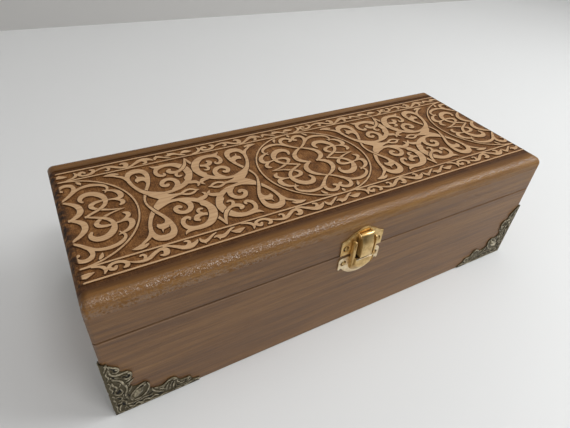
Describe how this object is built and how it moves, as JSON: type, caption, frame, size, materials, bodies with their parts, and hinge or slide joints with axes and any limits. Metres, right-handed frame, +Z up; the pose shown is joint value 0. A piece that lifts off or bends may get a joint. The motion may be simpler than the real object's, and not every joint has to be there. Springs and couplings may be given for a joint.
{
  "type": "hinged keepsake box",
  "caption": "Long stained wooden keepsake box with a hinged lid carved with scroll ornament, brass front clasp and bronze corner protectors.",
  "frame": {"origin": "centre of the wooden case's footprint, in the plane of the corner protectors' undersides that it stands on", "axes": "+X along the front to the right as seen from the clasp, +Y from the clasp side to the hinge side, +Z up"},
  "size_m": [0.3036, 0.1286, 0.088],
  "materials": {
    "stained_wood": "walnut stain under satin varnish",
    "carved_wood": "walnut stain, pale raised ornament on a dark carved ground",
    "floor_panel": "thin board, light stain",
    "aged_bronze": "pressed sheet, dark aged bronze",
    "hinge_brass": "brushed brass",
    "bright_brass": "bright pressed brass"
  },
  "bodies": {
    "base": {"base_front_board": "stained_wood", "base_back_board": "stained_wood", "base_left_board": "stained_wood", "base_right_board": "stained_wood", "base_floor_panel": "floor_panel", "protector_front_left": "aged_bronze", "protector_front_right": "aged_bronze", "protector_back_left": "aged_bronze", "protector_back_right": "aged_bronze", "hinge_left_base_leaf": "hinge_brass", "hinge_right_base_leaf": "hinge_brass", "hinge_left_pin": "hinge_brass", "hinge_right_pin": "hinge_brass", "hinge_base_nails": "hinge_brass", "clasp_lower_plate": "bright_brass", "clasp_keeper": "bright_brass", "clasp_lower_nails": "bright_brass"},
    "lid": {"lid_front_board": "stained_wood", "lid_back_board": "stained_wood", "lid_left_board": "stained_wood", "lid_right_board": "stained_wood", "lid_top_board": "carved_wood", "hinge_left_lid_leaf": "hinge_brass", "hinge_right_lid_leaf": "hinge_brass", "hinge_lid_nails": "hinge_brass", "clasp_upper_plate": "bright_brass", "clasp_pin": "bright_brass", "clasp_upper_nails": "bright_brass"},
    "clasp_tongue": {"clasp_tongue": "bright_brass"}
  },
  "joints": [
    {"name": "lid_hinge", "type": "hinge", "parent": "base", "child": "lid", "pos_m": [0, 0.0615, 0.06245], "axis": [-1, 0, 0], "range_deg": [0, 180]},
    {"name": "clasp_tongue_hinge", "type": "hinge", "parent": "lid", "child": "clasp_tongue", "pos_m": [-0.0016, -0.0621, 0.076], "axis": [-1, 0, 0], "range_deg": [0, 120]}
  ]
}
